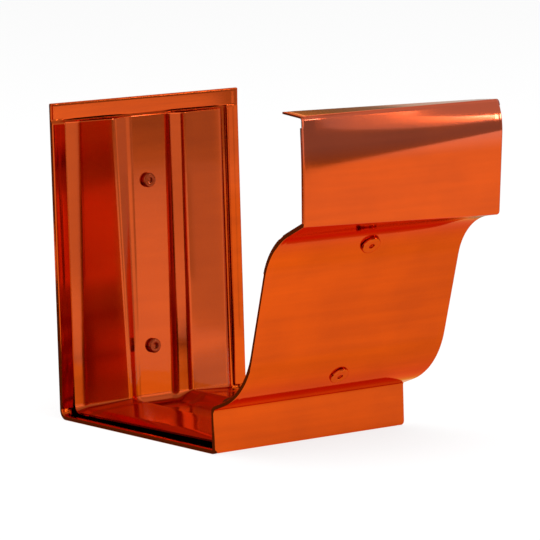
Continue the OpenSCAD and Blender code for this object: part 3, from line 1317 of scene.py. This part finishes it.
class Studio:
    """Pale floor, white surroundings and soft lamps.

    Cards, dark floor patches and a grey tent close the set for reflections and aren't seen
    themselves. A patch has the place of its middle, its width and its depth.
    """

    cards = (
        Card("table_edge", (0.375, -0.505, 0.0), 36.0, 1.2, 0.145, 0.29),
        Card("foot_card", (0.055, -0.03, 0.0), 90.0, 0.05, 0.035, 1.05),
        Card("front_low", (0.12, -0.05, 0.0), 90.0, 0.04, 0.058, 0.66),
        Card("front_high", (0.12, -0.05, 0.058), 90.0, 0.04, 0.06, 0.44),
        Card("crest_low", (0.12, -0.005, 0.0), 90.0, 0.05, 0.058, 0.95),
        Card("crest_high", (0.12, -0.005, 0.058), 90.0, 0.05, 0.06, 0.8),
        Card("step_low", (0.12, 0.15, 0.0), 90.0, 0.26, 0.058, 0.55),
        Card("step_high", (0.12, 0.15, 0.058), 90.0, 0.26, 0.06, 0.6),
        Card("opening_card", (0.06, 0.0, 0.028), 90.0, 0.023, 0.035, 0.5),
        Card("left_high", (-0.19, -0.249, 0.085), 0.0, 0.32, 0.12, 1.3),
        Card("right_card", (0.28, 0.0, 0.0), 90.0, 0.52, 0.5, 0.68),
        Card("back_right_card", (0.25, 0.43, 0.235), 150.0, 0.36, 0.30, 1.35),
        Card("back_right_low", (0.393, 0.3475, 0.0), 150.0, 0.27, 0.235, 0.25),
        Card("back_card", (0.155, 0.485, 0.0), 150.0, 0.28, 0.235, 0.95),
        Card("left_card", (-0.19, -0.25, 0.0), 0.0, 0.32, 0.5, 0.78),
        Card("rear_card", (-0.30, 0.34, 0.0), -140.0, 0.8, 0.5, 0.12),
    )
    softboxes = (
        Softbox("side_softbox", (0.622, -0.715, 0.256), (0.0, -0.064, 0.09), 0.187, 0.09, 9.5, True),
        Softbox("top_softbox", (-0.3, -0.4, 1.6), (0.0, 0.0, 0.0), 1.6, 1.6, 3.0, False),
    )
    tent_radius = 1.3
    tent_height = 1.3
    tent_tone = 0.62
    ceiling_tone = 0.46
    tent_sides = 64
    world_fill = 0.8
    floor_size = 12.0
    floor_tone = 0.9
    floor_rough = 0.9
    floor_glow = 0.8
    # The patches are painted shade on the floor beside the joint's near end, seen only in reflections,
    # and a darker table further off.
    patches = (((-0.18, 0.22), 0.32, 0.30), ((-0.186, 0.01), 0.308, 0.12))
    patch_height = 0.0001
    patch_tone = 0.1

    def __init__(self) -> None:
        """Sets the plain view transform."""
        self.scene = bpy.context.scene
        self.scene.view_settings.view_transform = "Standard"

    @staticmethod
    def seen(table: NodeTable) -> bpy.types.NodeSocket:
        """Gives a mask of the rays that show the background: camera, mirrored and transmitted.

        Args:
            table: the nodes to which it is added.

        Returns:
            The mask's output.
        """
        path = table.add("ShaderNodeLightPath")
        shown = table.maths("MAXIMUM", path.outputs["Is Camera Ray"], path.outputs["Is Glossy Ray"])
        return table.maths("MAXIMUM", shown, path.outputs["Is Transmission Ray"])

    def world(self) -> None:
        """Makes a world that is white where it is seen or mirrored, and lights with a fill."""
        world = bpy.data.worlds.new("studio_white")
        world.use_nodes = True
        self.scene.world = world
        table = NodeTable(world.node_tree)
        world.node_tree.nodes.clear()
        strength = table.maths("MAXIMUM", self.seen(table), self.world_fill)
        white = table.add("ShaderNodeBackground")
        white.inputs["Color"].default_value = (1.0, 1.0, 1.0, 1.0)
        table.join(strength, white.inputs["Strength"])
        output = table.add("ShaderNodeOutputWorld")
        table.join(white.outputs[0], output.inputs["Surface"])

    def sheet(self, name: str, place: Matrix) -> bpy.types.Object:
        """Makes a flat square of one metre and sets it in place.

        Args:
            name: the piece's name.
            place: size, turn and place of the square.

        Returns:
            The piece's object.
        """
        mesh = bmesh.new()
        bmesh.ops.create_grid(mesh, x_segments=1, y_segments=1, size=0.5)
        bmesh.ops.transform(mesh, matrix=place, verts=mesh.verts)
        return self.stage_piece(mesh, name)

    def stage_piece(self, mesh: BMesh, name: str) -> bpy.types.Object:
        """Turns a mesh into a piece of the stage with a material of its own.

        Args:
            mesh: the finished mesh.
            name: the piece's name.

        Returns:
            The piece's object.
        """
        data = bpy.data.meshes.new(name)
        mesh.to_mesh(data)
        mesh.free()
        made = bpy.data.materials.new(name)
        made.use_nodes = True
        data.materials.append(made)
        piece = bpy.data.objects.new(name, data)
        self.scene.collection.objects.link(piece)
        return piece

    def floor(self) -> None:
        """Lays the pale floor: mostly white of its own where it is seen, and shaded by the joint."""
        floor = self.sheet("floor", Matrix.Diagonal((self.floor_size, self.floor_size, 1.0, 1.0)))
        table = NodeTable(floor.data.materials[0].node_tree)
        shader = table.tree.nodes["Principled BSDF"]
        tone = self.floor_tone
        shader.inputs["Base Color"].default_value = (tone, tone, tone, 1.0)
        shader.inputs["Roughness"].default_value = self.floor_rough
        shader.inputs["Specular IOR Level"].default_value = 0.0
        white = table.add("ShaderNodeEmission")
        blend = table.add("ShaderNodeMixShader")
        table.join(table.maths("MULTIPLY", self.seen(table), self.floor_glow), blend.inputs[0])
        table.join(shader.outputs[0], blend.inputs[1])
        table.join(white.outputs[0], blend.inputs[2])
        table.join(blend.outputs[0], table.tree.nodes["Material Output"].inputs["Surface"])

    def glow(self, card: bpy.types.Object, tone: float) -> None:
        """Gives a stage piece a grey glow that only mirrored rays see.

        Args:
            card: the piece's object.
            tone: how bright it glows, where 1 is white.
        """
        table = NodeTable(card.data.materials[0].node_tree)
        glow = table.add("ShaderNodeEmission")
        glow.inputs["Color"].default_value = (tone, tone, tone, 1.0)
        table.join(glow.outputs[0], table.tree.nodes["Material Output"].inputs["Surface"])
        card.visible_camera = False
        card.visible_diffuse = False
        card.visible_shadow = False

    def upright(self, card: Card) -> None:
        """Stands a card up on its spot, square to its azimuth.

        Args:
            card: the card's place, size and tone.
        """
        turn = Matrix.Rotation(math.radians(card.azimuth), 4, "Z")
        middle = Matrix.Translation(Vector(card.spot) + Vector((0.0, 0.0, card.height / 2)))
        stand = Matrix.Rotation(math.radians(90), 4, "X")
        size = Matrix.Diagonal((card.width, card.height, 1.0, 1.0))
        self.glow(self.sheet(card.name, middle @ turn @ stand @ size), card.tone)

    def floor_patches(self) -> None:
        """Lays dark patches on the floor left of the joint and behind it, seen only in reflections."""
        # Painted shade of the floor near the joint, seen only in reflections.
        for (x, y), width, depth in self.patches:
            middle = Matrix.Translation((x, y, self.patch_height))
            place = middle @ Matrix.Diagonal((width, depth, 1.0, 1.0))
            self.glow(self.sheet("floor_patch", place), self.patch_tone)

    def tent(self) -> None:
        """Closes the set with a round grey wall and a grey ceiling."""
        mesh = bmesh.new()
        bmesh.ops.create_cone(mesh, cap_ends=False, segments=self.tent_sides,
                              radius1=self.tent_radius, radius2=self.tent_radius,
                              depth=self.tent_height)
        bmesh.ops.translate(mesh, vec=(0.0, 0.0, self.tent_height / 2), verts=mesh.verts)
        self.glow(self.stage_piece(mesh, "tent_wall"), self.tent_tone)
        wide = 2 * self.tent_radius
        over = Matrix.Translation((0.0, 0.0, self.tent_height)) @ Matrix.Diagonal((wide, wide, 1.0, 1.0))
        self.glow(self.sheet("tent_ceiling", over), self.ceiling_tone)

    def softbox(self, box: Softbox) -> None:
        """Hangs a soft lamp that points at its aim.

        Args:
            box: the lamp's place, size and glow.
        """
        data = bpy.data.lights.new(box.name, "AREA")
        data.shape = "RECTANGLE"
        data.size, data.size_y = box.width, box.height
        data.energy = box.glow * math.pi * box.width * box.height
        lamp = bpy.data.objects.new(box.name, data)
        turn = (Vector(box.aim) - Vector(box.spot)).to_track_quat("-Z", "Y").to_matrix().to_4x4()
        lamp.matrix_world = Matrix.Translation(box.spot) @ turn
        lamp.visible_camera = False
        lamp.visible_glossy = box.mirrored
        self.scene.collection.objects.link(lamp)

    def build(self) -> None:
        """Sets up the whole studio."""
        self.world()
        self.floor()
        for card in self.cards:
            self.upright(card)
        self.floor_patches()
        self.tent()
        for box in self.softboxes:
            self.softbox(box)


def dress(piece: bpy.types.Object, material: bpy.types.Material, node: str) -> None:
    """Gives a piece its material, hides the node that it stands for and logs the two.

    Args:
        piece: the piece's object.
        material: its material.
        node: name of the node.
    """
    piece.data.materials.append(material)
    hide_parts(node)
    LOG.info("%s stands for %s: %d faces", piece.name, node, len(piece.data.polygons))


def main() -> None:
    """Builds the joint, dresses it and sets up the camera and the studio."""
    logging.basicConfig(level=logging.INFO)
    section = Section()
    marks = SheetMarks().build()
    copper = {finish: finish.value.material(marks) for finish in Finish}
    strip = InnerStrip(section)
    dress(OuterShell(section).build(), copper[Finish.SHELL], "outer_shell")
    dress(strip.build(), copper[Finish.STRIP], "inner_strip")
    for node, rivet in Fixings(section, strip.middle).build().items():
        finish = Finish.RIVET if node in Fixings.front_seats else Finish.SET_END
        dress(rivet, copper[finish], node)
    Viewpoint().build()
    Studio().build()


if __name__ == "__main__":
    main()
